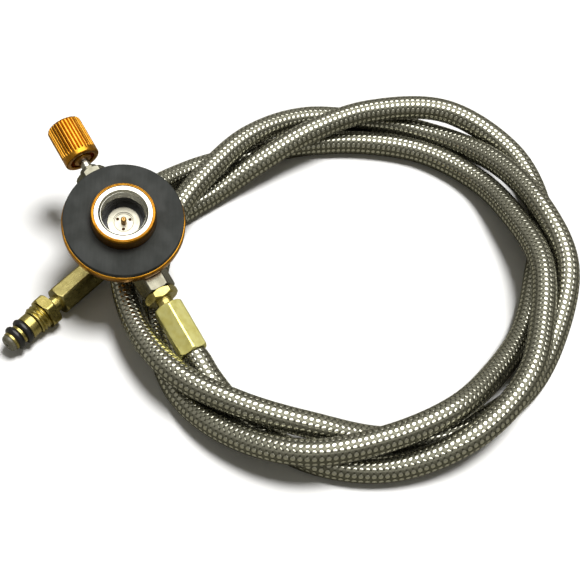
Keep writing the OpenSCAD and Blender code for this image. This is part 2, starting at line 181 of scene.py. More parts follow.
def spread(tree, value, low, high, lowOut, highOut):
    node = add(tree, "ShaderNodeMapRange", {"Value": value, "From Min": low, "From Max": high,
                                            "To Min": lowOut, "To Max": highOut})
    return node.outputs[0]


def noise(tree, vector, scale, detail=3.0):
    node = add(tree, "ShaderNodeTexNoise", {"Vector": vector, "Scale": scale, "Detail": detail})
    return node.outputs["Fac"]


def widened(tree, value, reach, lowOut, highOut):
    # noise stays near a half; reach is how far from it the output comes to its two ends
    return spread(tree, value, 0.5 - reach, 0.5 + reach, lowOut, highOut)


def stretched(tree, vector, scale):
    return add(tree, "ShaderNodeVectorMath", {0: vector, 1: scale}, operation="MULTIPLY").outputs[0]


def raiseSurface(tree, shader, height, distance):
    bump = add(tree, "ShaderNodeBump", {"Height": height, "Distance": distance, "Strength": 1.0})
    put(tree, shader.inputs["Normal"], bump.outputs[0])


def objectPlace(tree):
    # m in the piece's own frame
    return add(tree, "ShaderNodeTexCoord").outputs["Object"]


def turnedPlace(tree):
    # the place attribute of a turned piece: mm along its axis and in the two directions across it
    return add(tree, "ShaderNodeAttribute", attribute_name="place").outputs["Vector"]


# hose: route, tube and braid

hose = {
    "diameter": 6.4,
    "lie": 3.2,                      # height of the centre on the table
    "over": 10.4,                    # and on another turn
    "headInTable": (-55.1, 2.3, 19.0),
    "straight": 6.5,
    "firstAngle": 240,
    "angleStep": 20,
    "ringsPerStep": 28,
    "sides": 32,
    "squeeze": 0.25,                 # how much thinner the hose is where a ferrule grips it
    "squeezeReach": 2.5,
}
braid = {
    "strands": 12,                   # each way round
    "pitch": 1.47,                   # mm from one crossing to the next along the hose
    "wires": 5,                      # in a strand
    "wireHeight": 0.012,             # where a crown's height is 1
    "relief": 0.07,                  # mm from the gaps up to a crown
    "fall": 0.7,                     # how fast a crown falls along its strand, where across it is 1
    "under": 0.6,                    # height of the second family's crowns
    "cover": 0.45,                   # height from which the painted shade of the gaps no longer shows
    "bright": ((0.46, 0.45, 0.37), (0.56, 0.55, 0.46)),
    # painted shade: the second family's colour, a darker copy of the same steel
    "dull": (0.155, 0.151, 0.113),
    # painted shade between the strands
    "gap": (0.08, 0.078, 0.058),
    "smooth": 0.14,
    "rough": 0.5,
    "stretch": 0.5,                  # of a highlight, across the wires
    "slant": 0.135,                  # turns from the hose's length to the wires
    "patches": 60.0,
}


def hoseStations(h):
    # each turn of 20 degrees has a distance from the middle of the loops and a height on the table
    lie, over = h["lie"], h["over"]
    turns = [
        (49, lie), (54, lie), (57, 4), (58, 8.5), (56, over), (52, over),
        (50.5, over), (49, 7.5), (50.2, 4), (49.8, lie), (48, lie), (47.5, lie),
        (49, lie), (53.5, 5.5), (57, over), (56.5, 11), (55, 9.5), (53, 10.5),
        (49.5, over), (48, 8.5), (49, 3.5), (53, lie), (55.5, lie), (56, 4),
        (57.5, 8.5), (55.5, over), (56.3, 7.5), (57.1, 3.5), (56, lie), (53.5, 7.5),
        (49.5, over), (46.5, over), (46.5, 9.5), (48, 6), (50, lie), (53.5, lie),
        (55.5, 6.6), (56, 10), (52.5, over), (50.5, 10), (48, 6), (48.5, lie),
        (50.5, lie), (58, lie), (63.8, 4.8), (61.7, 9.4), (53.5, over), (45.5, over),
        (42.5, 7.5), (44.5, 3.5), (51, lie),
    ]
    loopMiddle = valveMiddle - np.array(h["headInTable"])
    stations = []
    for index, (reach, height) in enumerate(turns):
        angle = math.radians(h["firstAngle"] + h["angleStep"] * index)
        stations.append(loopMiddle + np.array([reach * math.cos(angle), reach * math.sin(angle), height]))
    start = valveMiddle + outletDir * headFerrule["high"]
    end = plugAxes["origin"]
    stations = [start, start + outletDir * h["straight"], *stations, end - plugDir * h["straight"], end]
    return np.array(stations), loopMiddle


def hoseRoute(h):
    # straight at both ends, and between them a centripetal Catmull-Rom curve through the stations
    p, loopMiddle = hoseStations(h)
    a, b, c, d = p[:-3], p[1:-2], p[2:-1], p[3:]
    ab, bc, cd = (np.sqrt(np.linalg.norm(x, axis=1))[:, None] for x in (b - a, c - b, d - c))
    leave = ((b - a) / ab - (c - a) / (ab + bc) + (c - b) / bc) * bc
    arrive = ((c - b) / bc - (d - b) / (bc + cd) + (d - c) / cd) * bc
    share = np.arange(h["ringsPerStep"]) / h["ringsPerStep"]
    t = share[None, :, None]
    b, c, leave, arrive = (x[:, None, :] for x in (b, c, leave, arrive))
    curve = ((1 + 2 * t) * (1 - t) ** 2 * b + t * (1 - t) ** 2 * leave
             + t * t * (3 - 2 * t) * c + t * t * (t - 1) * arrive).reshape(-1, 3)
    curve[:, 2] = np.maximum(curve[:, 2], loopMiddle[2] + h["lie"])
    head = p[0] + (p[1] - p[0]) * share[:, None]
    tail = p[-2] + (p[-1] - p[-2]) * np.append(share, 1.0)[:, None]
    return np.concatenate([head, curve, tail])


def lengthsAlong(route):
    return np.concatenate([[0], np.cumsum(np.linalg.norm(np.diff(route, axis=0), axis=1))])


def sweep(name, centre, radius, sides):
    # a ring at each point of the route: centre + radius (cos t side + sin t top)
    along = np.gradient(centre, axis=0)
    along /= np.linalg.norm(along, axis=1)[:, None]
    side = np.cross(upwards, along)
    side /= np.linalg.norm(side, axis=1)[:, None]
    top = np.cross(along, side)
    angle = np.linspace(0, 2 * math.pi, sides, endpoint=False)[None, :, None]
    ring = np.cos(angle) * side[:, None, :] + np.sin(angle) * top[:, None, :]
    points = (centre[:, None, :] + radius[:, None, None] * ring).reshape(-1, 3)
    rings = len(centre)
    i, k = np.meshgrid(np.arange(rings - 1), np.arange(sides), indexing="ij")
    across = (k + 1) % sides
    quads = np.stack([i * sides + k, i * sides + across, (i + 1) * sides + across, (i + 1) * sides + k], -1)
    lids = [list(range(sides))[::-1], list(range((rings - 1) * sides, rings * sides))]
    mesh = bpy.data.meshes.new(name)
    mesh.from_pydata((points * mm).tolist(), [], quads.reshape(-1, 4).tolist() + lids)
    # uv: turns round the hose and mm along it
    run = lengthsAlong(centre)
    lidCorners = np.zeros(2 * sides)
    column = np.append(np.stack([k, k + 1, k + 1, k], -1).reshape(-1) / sides, lidCorners)
    row = np.append(run[np.stack([i, i, i + 1, i + 1], -1).reshape(-1)], lidCorners)
    mesh.uv_layers.new(name="braid").data.foreach_set("uv", np.stack([column, row], -1).ravel())
    mesh.shade_smooth()
    piece = bpy.data.objects.new(name, mesh)
    bpy.context.scene.collection.objects.link(piece)
    return piece


def braidFinish(b):
    # two families of strands cross; where the sum of their numbers is even the first lies on top, smooth
    # and bright, and elsewhere the second shows, lower and rougher, in a darker copy of the steel that is
    # painted shade
    finish, tree, shader = startFinish("steelBraid", 1.0)
    uv = add(tree, "ShaderNodeSeparateXYZ", {0: add(tree, "ShaderNodeUVMap", uv_map="braid").outputs[0]})
    turn = calc(tree, "MULTIPLY", uv.outputs[0], float(b["strands"]))
    step = calc(tree, "DIVIDE", uv.outputs[1], b["pitch"])
    first = calc(tree, "ADD", step, turn)
    second = calc(tree, "SUBTRACT", step, turn)
    number = calc(tree, "ADD", calc(tree, "FLOOR", first), calc(tree, "FLOOR", second))
    under = calc(tree, "FLOORED_MODULO", number, 2.0)
    # crown = 1 - (across^2 + fall lengthwise^2)^2, with both from -1 to 1 over a strand's width
    firstPlace = spread(tree, calc(tree, "FRACT", first), 0.0, 1.0, -1.0, 1.0)
    secondPlace = spread(tree, calc(tree, "FRACT", second), 0.0, 1.0, -1.0, 1.0)
    across = squared(tree, choose(tree, under, firstPlace, secondPlace))
    lengthwise = squared(tree, choose(tree, under, secondPlace, firstPlace))
    away = calc(tree, "ADD", across, calc(tree, "MULTIPLY", lengthwise, b["fall"]))
    crown = calc(tree, "MAXIMUM", calc(tree, "SUBTRACT", 1.0, calc(tree, "MULTIPLY", away, away)), 0.0)
    # height = crown + a sine over the strand's wires
    wave = calc(tree, "MULTIPLY", choose(tree, under, first, second), 2 * math.pi * b["wires"])
    height = calc(tree, "ADD", calc(tree, "MULTIPLY", crown, choose(tree, under, 1.0, b["under"])),
                  calc(tree, "MULTIPLY", calc(tree, "SINE", wave), b["wireHeight"]))
    raiseSurface(tree, shader, height, b["relief"] * mm)
    bright = blendColours(tree, noise(tree, objectPlace(tree), b["patches"]), *b["bright"])
    # painted shade: where a crown falls low the colour goes to the dark gap tone
    cover = spread(tree, crown, 0.0, b["cover"], 0.0, 1.0)
    fill(tree, shader, {
        "Base Color": blendColours(tree, cover, b["gap"], blendColours(tree, under, bright, b["dull"])),
        "Roughness": choose(tree, under, b["smooth"], b["rough"]),
        "Tangent": add(tree, "ShaderNodeTangent", direction_type="UV_MAP", uv_map="braid").outputs[0],
        "Anisotropic": b["stretch"],
        "Anisotropic Rotation": choose(tree, under, b["slant"], -b["slant"]),
    })
    return finish


def makeHose(h, b):
    route = hoseRoute(h)
    run = lengthsAlong(route)
    fromEnd = np.minimum(run, run[-1] - run)
    grip = np.clip(1 - fromEnd / h["squeezeReach"], 0, 1)
    radius = h["diameter"] / 2 - h["squeeze"] * grip * grip * (3 - 2 * grip)
    piece = sweep("braided_hose", route, radius, h["sides"])
    piece.data.materials.append(braidFinish(b))
    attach(piece, "head")
    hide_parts("hose")
    print("hose is", round(run[-1], 1), "mm long,", len(piece.data.polygons), "faces")
    return piece, route


hosePiece, hoseLine = makeHose(hose, braid)


# floor, world and lamps

# the mirrored colour is painted shade, seen only in reflections of the floor
floorPlan = {"size": 6.0, "colour": (0.98, 0.975, 0.96), "mirrored": (0.3, 0.29, 0.235), "roughness": 0.9}
worldTone = {
    "diffuse": 0.14,
    "tint": (1.0, 0.975, 0.87),
    "white": (1.0, 1.0, 1.0),
    "mirrorLow": 0.3,
    "mirrorSide": 0.32,
    "mirrorTop": 0.38,
    "horizon": (-0.05, 0.0),         # heights between which the low tone turns into the side's
    "sky": (0.2, 0.9),               # and the side's into the top's
}
# the key lights diffuse surfaces and gives the shadows, and the wide sheen gives the highlights on metal
lamps = {
    "key": {"from": (0.32, 0.08, 1.0), "strength": 3.5, "angle": 20, "lights": "surfaces"},
    "sheen": {"from": (0.17, 0.12, 1.0), "strength": 4.0, "angle": 66, "lights": "mirrors"},
}


def makeFloor(plan, height):
    half = plan["size"] / 2
    mesh = bpy.data.meshes.new("floor")
    corners = [(-half, -half, height), (half, -half, height), (half, half, height), (-half, half, height)]
    mesh.from_pydata(corners, [], [(0, 1, 2, 3)])
    floor = bpy.data.objects.new("floor", mesh)
    bpy.context.scene.collection.objects.link(floor)
    finish, tree, shader = startFinish("floorPaper", 0.0)
    # painted shade in reflections: metal that mirrors the floor sees a darker one
    mirrored = add(tree, "ShaderNodeLightPath").outputs["Is Glossy Ray"]
    fill(tree, shader, {"Base Color": blendColours(tree, mirrored, plan["colour"], plan["mirrored"]),
                        "Roughness": plan["roughness"], "Specular IOR Level": 0.0})
    mesh.materials.append(finish)


def makeWorld(tone):
    # white to the camera, dim for diffuse light, and for mirrors a dark horizon under a lighter top
    world = bpy.data.worlds.new("studio")
    bpy.context.scene.world = world
    world.use_nodes = True
    tree = world.node_tree
    path = add(tree, "ShaderNodeLightPath").outputs
    mirrored = calc(tree, "MAXIMUM", path["Is Glossy Ray"], path["Is Transmission Ray"])
    direction = add(tree, "ShaderNodeSeparateXYZ", {0: add(tree, "ShaderNodeTexCoord").outputs["Generated"]})
    below = spread(tree, direction.outputs[2], *tone["horizon"], tone["mirrorLow"], tone["mirrorSide"])
    sky = spread(tree, direction.outputs[2], *tone["sky"], 0.0, tone["mirrorTop"] - tone["mirrorSide"])
    level = choose(tree, mirrored, tone["diffuse"], calc(tree, "ADD", below, sky))
    fill(tree, tree.nodes["Background"], {
        "Strength": choose(tree, path["Is Camera Ray"], level, 1.0),
        "Color": blendColours(tree, path["Is Camera Ray"], tone["tint"], tone["white"]),
    })


def makeLamp(name, lamp):
    light = bpy.data.lights.new(name, "SUN")
    light.energy = lamp["strength"]
    light.angle = math.radians(lamp["angle"])
    item = bpy.data.objects.new(name, light)
    item.rotation_euler = Vector(lamp["from"]).to_track_quat("Z", "Y").to_euler()
    item.visible_diffuse = lamp["lights"] == "surfaces"
    item.visible_glossy = lamp["lights"] == "mirrors"
    bpy.context.scene.collection.objects.link(item)


makeFloor(floorPlan, (hoseLine[:, 2].min() - hose["diameter"] / 2) * mm)
makeWorld(worldTone)
for lampName, lamp in lamps.items():
    makeLamp(lampName, lamp)
bpy.context.scene.view_settings.view_transform = "Standard"
print("floor, world and lamps made")


# turned pieces: a half outline swept about an axis

arcPoints = 6                        # in a fillet
sharpAngle = 28                      # degrees from which an edge isn't shaded smooth
hexSides = 144
hexStep = 0.2
hexWall = {"trim": 0.1, "inner": 0.8, "slack": 0.001}
threadForm = {"slope": 1.3, "cut": 0.15, "fade": 0.4}


def softened(outline):
    # a point is (place, radius) or (place, radius, fillet); a fillet turns the corner into an arc
    points = []
    for index, point in enumerate(outline):
        here = np.array(point[:2], float)
        if len(point) == 2:
            points.append(here)
            continue
        before = unit(np.array(outline[index - 1][:2]) - here)
        after = unit(np.array(outline[(index + 1) % len(outline)][:2]) - here)
        half = math.acos(before @ after) / 2
        middle = here + unit(before + after) * point[2] / math.sin(half)
        first = here + before * point[2] / math.tan(half) - middle
        last = here + after * point[2] / math.tan(half) - middle
        turn = math.pi - 2 * half
        for share in np.linspace(0, 1, arcPoints):
            blend = first * math.sin((1 - share) * turn) + last * math.sin(share * turn)
            points.append(middle + blend / math.sin(turn))
    return np.array(points)


def divided(points, step):
    # no stretch of the outline stays longer than the step
    dense = []
    for here, after in zip(points, np.roll(points, -1, axis=0)):
        count = max(1, math.ceil(np.linalg.norm(after - here) / step))
        dense.extend(here + (after - here) * k / count for k in range(count))
    return np.array(dense)


def turned(name, about, outline, sides=96, step=None, shape=None):
    # point = origin + x along + r (cos t first + sin t second), for each (x, r) of a closed outline
    # the outline goes forwards on the outer wall and comes back on the inner one
    points = softened(outline)
    if step:
        points = divided(points, step)
    x, r = points[:, :1], points[:, 1:]
    angle = np.linspace(0, 2 * math.pi, sides, endpoint=False)[None, :]
    radius = r + 0 * angle
    if shape:
        radius = shape(x, radius, angle)
    local = np.stack([x + 0 * angle, radius * np.cos(angle), radius * np.sin(angle)], -1).reshape(-1, 3)
    world = about["origin"] + local @ np.array([about["along"], about["first"], about["second"]])
    rings = len(points)
    i, k = np.meshgrid(np.arange(rings), np.arange(sides), indexing="ij")
    after, across = (i + 1) % rings, (k + 1) % sides
    quads = np.stack([i * sides + k, i * sides + across, after * sides + across, after * sides + k], -1)
    mesh = bpy.data.meshes.new(name)
    mesh.from_pydata((world * mm).tolist(), [], quads.reshape(-1, 4).tolist())
    mesh.shade_smooth()
    mesh.set_sharp_from_angle(angle=math.radians(sharpAngle))
    place = mesh.attributes.new("place", "FLOAT_VECTOR", "POINT")
    place.data.foreach_set("vector", local.ravel())
    piece = bpy.data.objects.new(name, mesh)
    bpy.context.scene.collection.objects.link(piece)
    return piece


def dress(piece, node, finish):
    piece.data.materials.append(finish)
    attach(piece, frame["nodes"][node]["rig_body"])
    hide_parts(node)
    return piece


def hexagon(low, high, corner, flatAt=30):
    # between two places the outer wall is cut to flats; flatAt is the angle of a flat's middle in degrees
    def shape(x, radius, angle):
        fromFlat = (angle - math.radians(flatAt - 30)) % (math.pi / 3) - math.pi / 6
        flat = np.minimum(corner * math.cos(math.pi / 6) / np.cos(fromFlat), corner - hexWall["trim"])
        inside = ((x > low - hexWall["slack"]) & (x < high + hexWall["slack"])
                  & (radius > corner * hexWall["inner"]))
        return np.where(inside, np.minimum(radius, flat), radius)
    return shape


def hexOutline(low, high, corner, edge):
    return [(low, corner - edge), (low + edge, corner), (high - edge, corner), (high, corner - edge)]


def thread(low, high, pitch, depth, inner):
    # a helical V groove, root to crest and back over one pitch, flat at both and fading in over the ends
    def shape(x, radius, angle):
        phase = (x / pitch - angle / (2 * math.pi)) % 1.0
        wave = np.clip(threadForm["slope"] * np.abs(2 * phase - 1) - threadForm["cut"], 0, 1)
        fade = np.clip(np.minimum(x - low, high - x) / (threadForm["fade"] * pitch), 0, 1)
        inside = (x >= low) & (x <= high) & inner(radius)
        return radius - np.where(inside, depth * wave * fade, 0.0)
    return shape


# metal, rubber and plastic

metals = {
    "gold": {"colour": (0.42, 0.183, 0.014), "worn": (0.5, 0.236, 0.026),
             "roughness": 0.28, "grain": "round"},
    "nickel": {"colour": (0.46, 0.45, 0.39), "worn": (0.55, 0.54, 0.47),
               "roughness": 0.22, "grain": "round"},
    # the same nickel with a long grain, its colour made darker as painted shade on the hexagon pieces
    "nickelHex": {"colour": (0.13, 0.122, 0.09), "worn": (0.2, 0.19, 0.145),
                  "roughness": 0.22, "grain": "long"},
    "brass": {"colour": (0.78, 0.71, 0.23), "worn": (0.88, 0.83, 0.34),
              "roughness": 0.42, "grain": "long"},
    "oliveBrass": {"colour": (0.29, 0.245, 0.088), "worn": (0.4, 0.345, 0.135),
                   "roughness": 0.32, "grain": "long"},
    "turnedOlive": {"colour": (0.36, 0.30, 0.09), "worn": (0.48, 0.40, 0.14),
                    "roughness": 0.26, "grain": "round"},
    "bronze": {"colour": (0.42, 0.25, 0.08), "worn": (0.30, 0.17, 0.05),
               "roughness": 0.3, "grain": "round"},
}
plainFinishes = {
    "steel": {"colour": (0.4, 0.39, 0.34), "metallic": 1.0, "roughness": 0.22, "speckle": 0.06},
    "copper": {"colour": (0.42, 0.2, 0.09), "metallic": 1.0, "roughness": 0.35, "speckle": 0.1},
    "nickelBody": {"colour": (0.3, 0.285, 0.22), "metallic": 1.0, "roughness": 0.25, "speckle": 0.08},
    "sealRubber": {"colour": (0.008, 0.008, 0.008), "metallic": 0.0, "roughness": 0.3, "speckle": 0.05},
    "hoseRubber": {"colour": (0.02, 0.02, 0.02), "metallic": 0.0, "roughness": 0.6, "speckle": 0.05},
    "packing": {"colour": (0.75, 0.75, 0.72), "metallic": 0.0, "roughness": 0.5, "speckle": 0.05},
    "greyPlastic": {"colour": (0.1, 0.092, 0.06), "metallic": 0.0, "roughness": 0.28, "speckle": 0.1},
}
# marks on metal: noise scales per mm, and how much smoother and rougher they make it
wear = {"round": 9.0, "long": 7.0, "longStretch": (0.12, 1.0, 1.0), "tone": 0.55, "toneReach": 0.15,
        "markReach": 0.2, "smoother": 0.7, "rougher": 1.35, "relief": 0.004}
speckle = {"scale": 900.0, "reach": 0.2}
padLook = {
    "charcoal": ((0.0185, 0.0203, 0.0176), (0.023, 0.0248, 0.0216)),
    "dusty": (0.045, 0.047, 0.044),
    "streaks": 1500.0,
    "streakStretch": (1.0, 0.12, 0.12),
    "streakReach": 0.15,
    "smudges": 170.0,
    "smudgeFrom": 0.56,
    "smudgeTo": 0.72,
    "smudgeShare": 0.6,
    "roughReach": 0.15,
    "smooth": 0.5,
    "rough": 0.72,
    "specular": 0.22,
    "relief": 0.015,
}
carrierLook = {
    "colour": (0.38, 0.36, 0.29),
    # painted shade: the dark ring round the pin
    "line": (0.06, 0.05, 0.03),
    "lineRadius": 2.35,              # mm: a painted ring of shade round the pin
    "lineHalf": 0.09,
    "smooth": 0.3,
    "rough": 0.44,
}


def metalFinish(name, metal):
    # fine marks run round a turned piece or along a drawn hexagon, over slow changes of tone
    finish, tree, shader = startFinish(name, 1.0)
    spot = turnedPlace(tree)
    if metal["grain"] == "round":
        part = add(tree, "ShaderNodeSeparateXYZ", {0: spot}).outputs
        away = calc(tree, "SQRT", calc(tree, "ADD", squared(tree, part[1]), squared(tree, part[2])))
        lines = add(tree, "ShaderNodeCombineXYZ", {0: part[0], 1: away}).outputs[0]
        marks = noise(tree, lines, wear["round"], fineDetail)
    else:
        marks = noise(tree, stretched(tree, spot, wear["longStretch"]), wear["long"], fineDetail)
    share = widened(tree, noise(tree, spot, wear["tone"]), wear["toneReach"], 0.0, 1.0)
    smooth, rough = (metal["roughness"] * wear[key] for key in ("smoother", "rougher"))
    fill(tree, shader, {"Base Color": blendColours(tree, share, metal["colour"], metal["worn"]),
                        "Roughness": widened(tree, marks, wear["markReach"], smooth, rough)})
    raiseSurface(tree, shader, marks, wear["relief"] * mm)
    return finish


def speckled(tree, spot, smooth, rough):
    return widened(tree, noise(tree, spot, speckle["scale"], fineDetail), speckle["reach"], smooth, rough)


def plainFinish(name, plain):
    finish, tree, shader = startFinish(name, plain["metallic"])
    smooth, rough = plain["roughness"] - plain["speckle"], plain["roughness"] + plain["speckle"]
    fill(tree, shader, {"Base Color": plain["colour"],
                        "Roughness": speckled(tree, objectPlace(tree), smooth, rough)})
    return finish


def padFinish(look):
    # charcoal rubber with faint streaks down the face and a few lighter smudges
    finish, tree, shader = startFinish("padRubber", 0.0)
    spot = objectPlace(tree)
    streaks = noise(tree, stretched(tree, spot, look["streakStretch"]), look["streaks"], fineDetail)
    smudge = noise(tree, spot, look["smudges"], fineDetail)
    streaky = widened(tree, streaks, look["streakReach"], 0.0, 1.0)
    tone = blendColours(tree, streaky, *look["charcoal"])
    dusty = spread(tree, smudge, look["smudgeFrom"], look["smudgeTo"], 0.0, look["smudgeShare"])
    fill(tree, shader, {
        "Base Color": blendColours(tree, dusty, tone, look["dusty"]),
        "Roughness": widened(tree, smudge, look["roughReach"], look["smooth"], look["rough"]),
        "Specular IOR Level": look["specular"],
    })
    raiseSurface(tree, shader, streaks, look["relief"] * mm)
    return finish


def carrierFinish(look):
    # bright nickel with a dark ring of painted shade at a distance from the inlet's axis: |(place - origin)
    # x axis|
    finish, tree, shader = startFinish("carrierNickel", 1.0)
    spot = objectPlace(tree)
    relative = add(tree, "ShaderNodeVectorMath", {0: spot, 1: tuple(inletAxes["origin"] * mm)},
                   operation="SUBTRACT").outputs[0]
    across = add(tree, "ShaderNodeVectorMath", {0: relative, 1: tuple(inletDir)},
                 operation="CROSS_PRODUCT").outputs[0]
    away = add(tree, "ShaderNodeVectorMath", {0: across}, operation="LENGTH").outputs["Value"]
    offset = calc(tree, "ABSOLUTE", calc(tree, "SUBTRACT", away, look["lineRadius"] * mm))
    line = spread(tree, offset, 0.5 * look["lineHalf"] * mm, look["lineHalf"] * mm, 1.0, 0.0)
    fill(tree, shader, {"Base Color": blendColours(tree, line, look["colour"], look["line"]),
                        "Roughness": speckled(tree, spot, look["smooth"], look["rough"])})
    return finish


finishes = {name: metalFinish(name, metal) for name, metal in metals.items()}
finishes.update({name: plainFinish(name, plain) for name, plain in plainFinishes.items()})
finishes["pad"] = padFinish(padLook)
finishes["carrier"] = carrierFinish(carrierLook)
print("finishes made:", len(finishes))


# sizes that several pieces share, in mm

seat = 0.02                          # play of a seated piece
plainEdge = 0.1                      # rounding of an edge that has no size of its own
onAxis = 0.01                        # radius of a wall that stands for the axis
threadPoints = 10                    # outline points in a pitch
mouth = float((np.zeros(3) - valveMiddle) @ inletDir)


# inlet: cup, pad and threaded insert

cupShape = {"foot": 0.5, "rim": 0.45, "corner": 0.05, "shoulder": 0.9, "shoulderRound": 2.5,
            "lip": 0.3, "lipRound": 0.2, "grooveFrom": 0.47, "grooveWide": 0.15, "grooveDeep": 0.6,
            "grooveOuterEdge": 0.03, "grooveInnerEdge": 0.06}
padShape = {"foot": 0.12, "rim": 0.32, "inner": 0.12}
canisterThread = {"pitch": 25.4 / 28, "depth": 0.36, "length": mounts["canister_inlet"]["dims"]["length_mm"],
                  "minor": mounts["canister_inlet"]["dims"]["r_mm"], "past": 0.1, "slack": 0.01,
                  "lead": 0.85, "relief": 0.4, "rim": 0.16, "leadEdge": 0.12, "mouthEdge": 0.05}
pinShape = {"tip": 0.2, "tipIn": 0.28, "dimple": 0.22, "dimpleDeep": 0.25}


def makeCup(c):
    cup, pad, insert = (extent(node, inletAxes) for node in ("inlet_cup", "rubber_pad", "thread_insert"))
    collar = pad["bore"] - seat
    bore = insert["radius"] + seat
    top = cup["high"]
    grooveOuter, grooveFloor = collar - c["grooveFrom"], top - c["grooveDeep"]
    grooveInner = grooveOuter - c["grooveWide"]
    outline = [
        (cup["low"], cup["bore"]), (cup["low"], cup["radius"], c["foot"]),
        (pad["low"], cup["radius"], c["rim"]), (pad["low"], collar, c["corner"]),
        (top - c["shoulder"], collar, c["shoulderRound"]), (top, collar - c["lip"], c["lipRound"]),
        (top, grooveOuter, c["grooveOuterEdge"]), (grooveFloor, grooveOuter), (grooveFloor, grooveInner),
        (top, grooveInner, c["grooveInnerEdge"]), (top, bore, plainEdge), (insert["low"], bore),
        (insert["low"], cup["bore"]),
    ]
    dress(turned("gold_cup", inletAxes, outline, sides=160), "inlet_cup", finishes["gold"])


def makePad(p):
    pad = extent("rubber_pad", inletAxes)
    outline = [
        (pad["low"], pad["bore"]), (pad["low"], pad["radius"], p["foot"]),
        (pad["high"], pad["radius"], p["rim"]), (pad["high"], pad["bore"], p["inner"]),
    ]
    dress(turned("pad", inletAxes, outline, sides=160), "rubber_pad", finishes["pad"])


def makeInsert(t):
    insert = extent("thread_insert", inletAxes)
    root, lead = t["minor"] + t["depth"], t["minor"] + t["lead"]
    low = mouth - t["length"]
    undercut = extent("inlet_seal", inletAxes)["radius"] + seat
    outline = [
        (insert["low"], undercut), (insert["low"], insert["radius"]),
        (insert["high"], insert["radius"], t["rim"]), (insert["high"], lead, t["leadEdge"]),
        (mouth, root, t["mouthEdge"]), (low, root), (low - t["relief"], undercut),
    ]
    shape = thread(low, mouth + t["past"], t["pitch"], t["depth"], lambda radius: radius < root + t["slack"])
    piece = turned("canister_thread", inletAxes, outline, sides=128, step=t["pitch"] / threadPoints,
                   shape=shape)
    dress(piece, "thread_insert", finishes["nickel"])


def makePin(p):
    pin = extent("actuator_pin", inletAxes)
    radius = pin["radius"]
    outline = [
        (pin["low"], onAxis), (pin["low"], radius), (pin["high"] - p["tip"], radius, plainEdge),
        (pin["high"], radius - p["tipIn"], plainEdge), (pin["high"], p["dimple"]),
        (pin["high"] - p["dimpleDeep"], onAxis),
    ]
    dress(turned("pin", inletAxes, outline, sides=48), "actuator_pin", finishes["bronze"])


makeCup(cupShape)
makePad(padShape)
makeInsert(canisterThread)
makePin(pinShape)
print("inlet made")


# valve: gland nut and ribbed knob

knobShape = {"ribs": 30, "depth": 0.45, "sharpness": 3.2, "ribWall": 0.8, "fadeIn": 0.3, "fadeOut": 0.8,
             "ribsFrom": 0.1, "rim": 1.3, "topRound": 0.55, "endRound": 0.42, "hollow": 1.9,
             "hollowRadius": 3.3, "hollowEdge": 0.12, "boss": 2.3, "stemBore": 1.37, "wall": 2.3,
             "screwBore": 0.72, "recess": 1.85, "recessDeep": 1.4, "sidesPerRib": 12, "step": 0.5}
glandShape = {"neck": 2.3, "neckLong": 1.5, "neckRound": 0.2, "edge": 0.4, "thread": 2.9}


def ribbed(low, high, k, outer):
    # between two places the wall dips once for each rib, by (0.5 - 0.5 cos(ribs t))^sharpness of the depth
    def shape(x, radius, angle):
        dip = (0.5 - 0.5 * np.cos(k["ribs"] * angle)) ** k["sharpness"]
        fade = np.clip((high - x) / k["fadeOut"], 0, 1) * np.clip((x - low) / k["fadeIn"], 0, 1)
        inside = (x >= low) & (x <= high) & (radius > outer - k["ribWall"])
        return radius - np.where(inside, k["depth"] * dip * fade * fade * (3 - 2 * fade), 0.0)
    return shape


def makeKnob(k):
    knob = extent("knob", barrelAxes)
    outer, low, high = knob["radius"], knob["low"], knob["high"]
    floor, wall, ledge = high - k["hollow"], low + k["wall"], low + k["recessDeep"]
    outline = [
        (low, k["recess"], plainEdge), (low, outer, k["topRound"]), (high, outer, k["endRound"]),
        (high, k["hollowRadius"], k["hollowEdge"]), (floor, k["hollowRadius"]), (floor, k["boss"]),
        (high, k["boss"], plainEdge), (high, k["stemBore"]), (wall, k["stemBore"]), (wall, k["screwBore"]),
        (ledge, k["screwBore"]), (ledge, k["recess"]),
    ]
    shape = ribbed(low + k["ribsFrom"], high - k["rim"], k, outer)
    piece = turned("ribbed_knob", barrelAxes, outline, sides=k["ribs"] * k["sidesPerRib"], step=k["step"],
                   shape=shape)
    dress(piece, "knob", finishes["gold"])


def makeGland(g):
    nut = extent("gland_nut", barrelAxes)
    corner, face = nut["radius"], extent("valve_body", barrelAxes)["low"]
    shoulder = nut["low"] + g["neckLong"]
    outline = [
        (nut["low"], nut["bore"], plainEdge), (nut["low"], g["neck"], g["neckRound"]), (shoulder, g["neck"]),
        *hexOutline(shoulder, face, corner, g["edge"]),
        (face, g["thread"]), (nut["high"], g["thread"]), (nut["high"], nut["bore"]),
    ]
    piece = turned("gland", barrelAxes, outline, sides=hexSides, step=hexStep,
                   shape=hexagon(shoulder, face, corner))
    dress(piece, "gland_nut", finishes["nickelHex"])


makeKnob(knobShape)
makeGland(glandShape)
print("valve made")


# outlet: nipple, hose tail and crimped ferrule

nippleShape = {"edge": 0.4, "spigot": 2.6, "socket": 2.22, "socketPast": 0.4}
tailShape = {"inset": 2.2, "hexLong": 2.2, "edge": 0.6, "neck": 2.1, "neckRound": 0.15, "neckInside": 1.2,
             "barb": 1.75, "barbEnd": 1.5}
crimp = {"edge": 0.5, "wall": 1.2, "hole": 2.12, "sleeve": 2.8, "step": 0.25}


